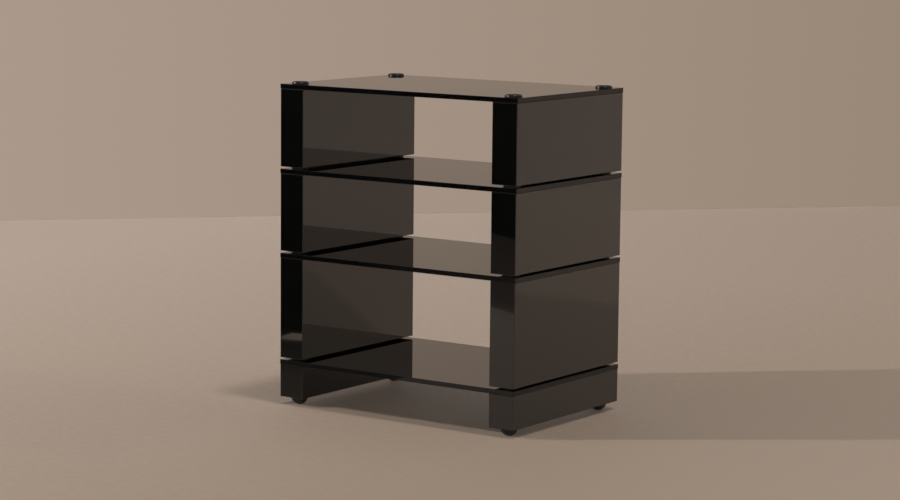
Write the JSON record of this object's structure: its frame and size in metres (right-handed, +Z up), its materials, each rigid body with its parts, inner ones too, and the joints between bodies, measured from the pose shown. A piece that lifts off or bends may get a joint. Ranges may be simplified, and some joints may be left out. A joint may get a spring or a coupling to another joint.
{
  "type": "audio equipment rack",
  "caption": "Open stacking rack for audio equipment: thick black gloss side panels and black glass shelves in tiers on round spacers, on dome feet.",
  "frame": {"origin": "on the floor, under the middle of the rack", "axes": "+Z up, front towards -Y, +X to the right seen from the front"},
  "size_m": [0.6, 0.4, 0.6905],
  "materials": {
    "panel_lacquer": "black high-gloss lacquer on board",
    "shelf_glass": "black gloss glass, polished edges",
    "spacer_polymer": "smooth gloss black polymer",
    "socket_metal": "black anodised",
    "bond_foam": "matt black bonding foam",
    "pin_steel": "ground steel",
    "foot_rubber": "satin black rubber",
    "stud_steel": "zinc-plated steel",
    "insert_brass": "turned brass"
  },
  "bodies": {
    "base_tier": {"base_left_panel": "panel_lacquer", "base_right_panel": "panel_lacquer", "base_shelf": "shelf_glass", "base_spacer_front_left": "spacer_polymer", "base_spacer_front_right": "spacer_polymer", "base_spacer_back_left": "spacer_polymer", "base_spacer_back_right": "spacer_polymer", "base_spacer_sockets": "socket_metal", "base_bond_discs": "bond_foam", "foot_inserts": "insert_brass"},
    "lower_tier": {"lower_left_panel": "panel_lacquer", "lower_right_panel": "panel_lacquer", "lower_shelf": "shelf_glass", "lower_spacer_front_left": "spacer_polymer", "lower_spacer_front_right": "spacer_polymer", "lower_spacer_back_left": "spacer_polymer", "lower_spacer_back_right": "spacer_polymer", "lower_spacer_sockets": "socket_metal", "lower_bond_discs": "bond_foam", "lower_locating_pins": "pin_steel"},
    "middle_tier": {"middle_left_panel": "panel_lacquer", "middle_right_panel": "panel_lacquer", "middle_shelf": "shelf_glass", "middle_spacer_front_left": "spacer_polymer", "middle_spacer_front_right": "spacer_polymer", "middle_spacer_back_left": "spacer_polymer", "middle_spacer_back_right": "spacer_polymer", "middle_spacer_sockets": "socket_metal", "middle_bond_discs": "bond_foam", "middle_locating_pins": "pin_steel"},
    "upper_tier": {"upper_left_panel": "panel_lacquer", "upper_right_panel": "panel_lacquer", "upper_shelf": "shelf_glass", "upper_spacer_front_left": "spacer_polymer", "upper_spacer_front_right": "spacer_polymer", "upper_spacer_back_left": "spacer_polymer", "upper_spacer_back_right": "spacer_polymer", "upper_spacer_sockets": "socket_metal", "upper_bond_discs": "bond_foam", "upper_locating_pins": "pin_steel"},
    "foot_front_left": {"foot_dome_front_left": "foot_rubber", "foot_stud_front_left": "stud_steel"},
    "foot_front_right": {"foot_dome_front_right": "foot_rubber", "foot_stud_front_right": "stud_steel"},
    "foot_back_left": {"foot_dome_back_left": "foot_rubber", "foot_stud_back_left": "stud_steel"},
    "foot_back_right": {"foot_dome_back_right": "foot_rubber", "foot_stud_back_right": "stud_steel"}
  },
  "joints": [
    {"name": "lower_tier_lift", "type": "slide", "parent": "base_tier", "child": "lower_tier", "axis": [0, 0, 1], "range_m": [0, 0.08]},
    {"name": "middle_tier_lift", "type": "slide", "parent": "lower_tier", "child": "middle_tier", "axis": [0, 0, 1], "range_m": [0, 0.08]},
    {"name": "upper_tier_lift", "type": "slide", "parent": "middle_tier", "child": "upper_tier", "axis": [0, 0, 1], "range_m": [0, 0.08]},
    {"name": "foot_front_left_level", "type": "slide", "parent": "base_tier", "child": "foot_front_left", "axis": [0, 0, -1], "range_m": [0, 0.006]},
    {"name": "foot_front_right_level", "type": "slide", "parent": "base_tier", "child": "foot_front_right", "axis": [0, 0, -1], "range_m": [0, 0.006]},
    {"name": "foot_back_left_level", "type": "slide", "parent": "base_tier", "child": "foot_back_left", "axis": [0, 0, -1], "range_m": [0, 0.006]},
    {"name": "foot_back_right_level", "type": "slide", "parent": "base_tier", "child": "foot_back_right", "axis": [0, 0, -1], "range_m": [0, 0.006]}
  ]
}
